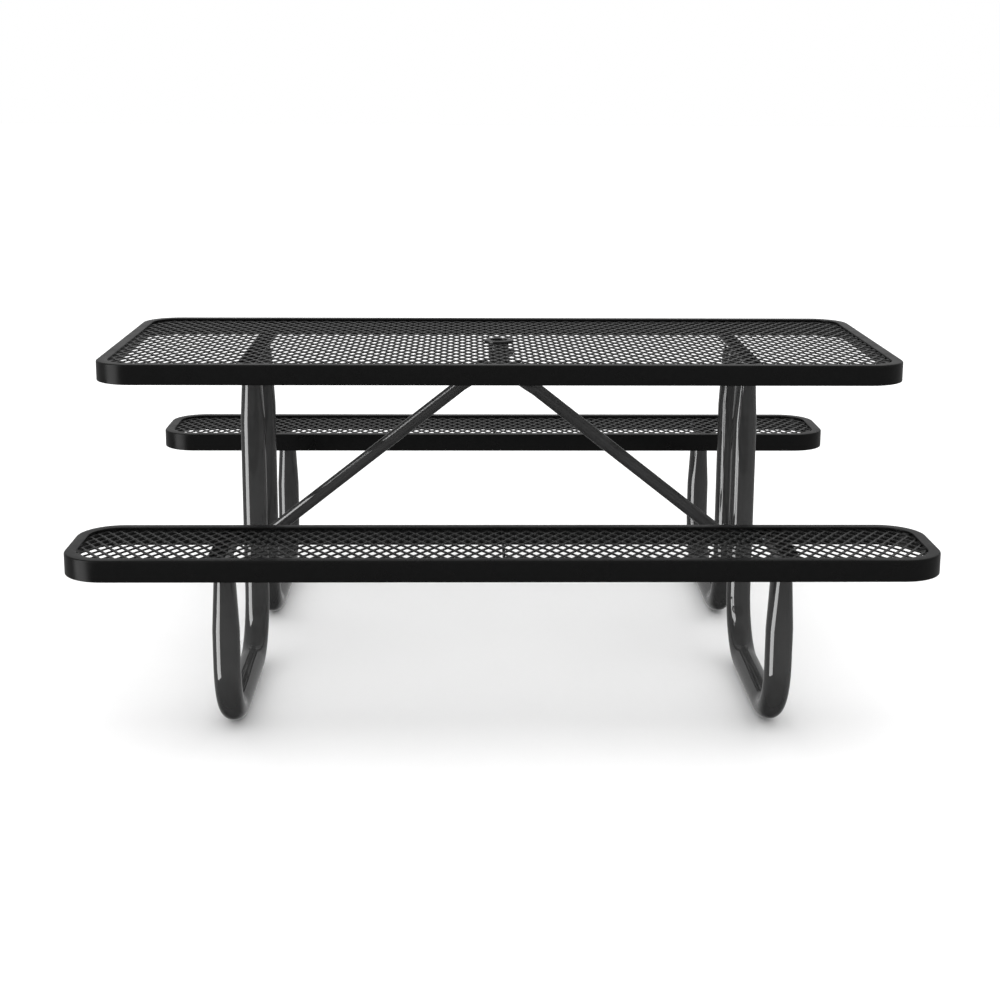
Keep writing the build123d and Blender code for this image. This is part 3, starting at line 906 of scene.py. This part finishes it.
# %% Zinc plating
zinc, tree, place, output = new_material("bright_zinc_plating")
grain = add(tree, "ShaderNodeTexVoronoi", [("Scale", per_metre(0.8))], [("Vector", place)])
cloud = noise(tree, place, 5, 3.0)
tone = two_tones(tree, cloud, (0.3, "#A8ABAE"), (0.7, "#D2D4D6"))
dull = remap(tree, cloud, 0.3, 0.7, 0.22, 0.38)
crystals = relief(tree, grain.outputs["Distance"], 0.3, 0.00005)
surface(tree, output, [("Metallic", 1.0)], tone, dull, crystals)

# %% [markdown]
# ## Put each finish on its pieces
#
# A new piece gets its finish as its one material, rides on the body that holds it, and the CAD
# node that it replaces is hidden. Everything is bolted or welded into one body, and only the set
# screw turns.

# %% Finish, ride and replace
def dress(piece, material, body="table", replaced=()):
    piece.data.materials.clear()
    piece.data.materials.append(material)
    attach(piece, body)
    if replaced:
        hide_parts(*replaced)


for piece, node in zip(rims, ("tabletop_rim", "front_seat_rim", "back_seat_rim")):
    dress(piece, rim_coat, replaced=[node])
for node, panels in meshes.items():
    for panel in panels:
        dress(panel, mesh_coat, replaced=[node])
for node, piece in legs.items():
    dress(piece, leg_coat, replaced=[node])
for node, piece in list(ties.items()) + list(braces.items()):
    dress(piece, brace_coat, replaced=[node])
for piece in welds:
    dress(piece, brace_coat)
dress(ring, bracket_coat, replaced=["umbrella_ring"])
dress(sleeve, bracket_coat, replaced=["umbrella_sleeve"])
for node, piece in fasteners.items():
    dress(piece, zinc, replaced=[node])
dress(screw, zinc, "set_screw", ["set_screw"])
for name in brackets:
    node = nodes[name]
    node.data.materials.clear()
    node.data.materials.append(bracket_coat)
print("pieces made:", len(pieces), "- CAD nodes dressed:", len(brackets))

# %% [markdown]
# ## The stage
#
# A pale floor runs far out. The world has three brightnesses, by the kind of ray that meets it:
#
# - white for the camera;
# - a dome for matt surfaces, brighter overhead than at the horizon;
# - a dim room for mirror rays, with a wall that is dark low down and a little lighter at the back.
#
# Two tall softboxes stand in one place to the left and are seen only in reflections. The bright
# one reaches the gloss pieces and draws a stripe down each tube. The weak one reaches the dipped
# rims and mesh, whose softer skin would look silver under the bright one. The floor takes shadows
# but is left out of reflections, so the tubes mirror the room instead of the floor's edge.

# %% Floor
floor_mesh = bpy.data.meshes.new("studio_floor")
reach = 40
floor_mesh.from_pydata(
    [(-reach, -reach, 0), (reach, -reach, 0), (reach, reach, 0), (-reach, reach, 0)],
    [], [(0, 1, 2, 3)])
floor = bpy.data.objects.new("studio_floor", floor_mesh)
scene.collection.objects.link(floor)
floor.visible_glossy = False
floor_paint, tree, place, output = new_material("matt_white_studio_paint")
mottle = add(tree, "ShaderNodeTexNoise", [("Scale", 1.5), ("Detail", 2.0)], [("Vector", place)])
tone = two_tones(tree, mottle.outputs["Fac"], (0.0, "#E6E6E6"), (1.0, "#EAEAEA"))
shader = add(tree, "ShaderNodeBsdfPrincipled", [("Roughness", 0.9), ("Specular IOR Level", 0.0)],
             [("Base Color", tone)])
tree.links.new(shader.outputs["BSDF"], output.inputs["Surface"])
floor_mesh.materials.append(floor_paint)

# %% World
seen_white = 1.0
dome_horizon, dome_overhead = 1.16, 1.90
room_low, room_high, room_back = 0.02, 0.25, 0.15
world = bpy.data.worlds.new("white_studio")
scene.world = world
world.use_nodes = True
tree = world.node_tree
tree.nodes.clear()
path = add(tree, "ShaderNodeLightPath")
where = add(tree, "ShaderNodeTexCoord")
axes = add(tree, "ShaderNodeSeparateXYZ", links=[("Vector", where.outputs["Object"])])
dome = remap(tree, axes.outputs["Z"], 0.0, 1.0, dome_horizon, dome_overhead)
wall = remap(tree, axes.outputs["Z"], -0.75, -0.45, room_low, room_high)
back = remap(tree, axes.outputs["Y"], 0.6, 1.0, 0.0, room_back)
room = add(tree, "ShaderNodeMath", [("operation", "ADD")], [(0, wall), (1, back)])
lit = add(tree, "ShaderNodeMix", [("data_type", "FLOAT")], [
    (0, path.outputs["Is Glossy Ray"]), (2, dome), (3, room.outputs["Value"])])
seen = add(tree, "ShaderNodeMix", [("data_type", "FLOAT"), (3, seen_white)], [
    (0, path.outputs["Is Camera Ray"]), (2, lit.outputs[0])])
glow = add(tree, "ShaderNodeBackground", [("Color", (1, 1, 1, 1))], [("Strength", seen.outputs[0])])
add(tree, "ShaderNodeOutputWorld", links=[("Surface", glow.outputs["Background"])])
scene.view_settings.view_transform = "Standard"


# %% Softboxes
box_azimuth, box_distance, box_height = 66, 12, 2.5
box_width, box_tall = 7.2, 19
stripe_radiance, edge_radiance = 9, 2.6


def softbox(name, radiance, group_name, receivers):
    """A light seen only in reflections, and only by the given pieces.

    Power = radiance * pi * area. The azimuth is in degrees left of straight ahead.
    """
    light = bpy.data.lights.new(name, "AREA")
    light.shape, light.size, light.size_y = "RECTANGLE", box_width, box_tall
    light.energy = radiance * math.pi * box_width * box_tall
    box = bpy.data.objects.new(name, light)
    scene.collection.objects.link(box)
    a = math.radians(box_azimuth)
    box.location = (-box_distance * math.sin(a), -box_distance * math.cos(a), box_height)
    target = Vector((0, 0, box_height)) - box.location
    box.rotation_euler = target.to_track_quat("-Z", "Y").to_euler()
    box.visible_glossy, box.visible_diffuse, box.visible_camera = True, False, False
    group = bpy.data.collections.new(group_name)
    for receiver in receivers:
        group.objects.link(receiver)
    box.light_linking.receiver_collection = group


dipped = rims + [panel for panels in meshes.values() for panel in panels]
others = [piece for piece in pieces.values() if piece not in dipped]
others += [nodes[name] for name in brackets]
softbox("stripe_softbox", stripe_radiance, "gloss_pieces", others)
softbox("edge_softbox", edge_radiance, "dipped_pieces", dipped)
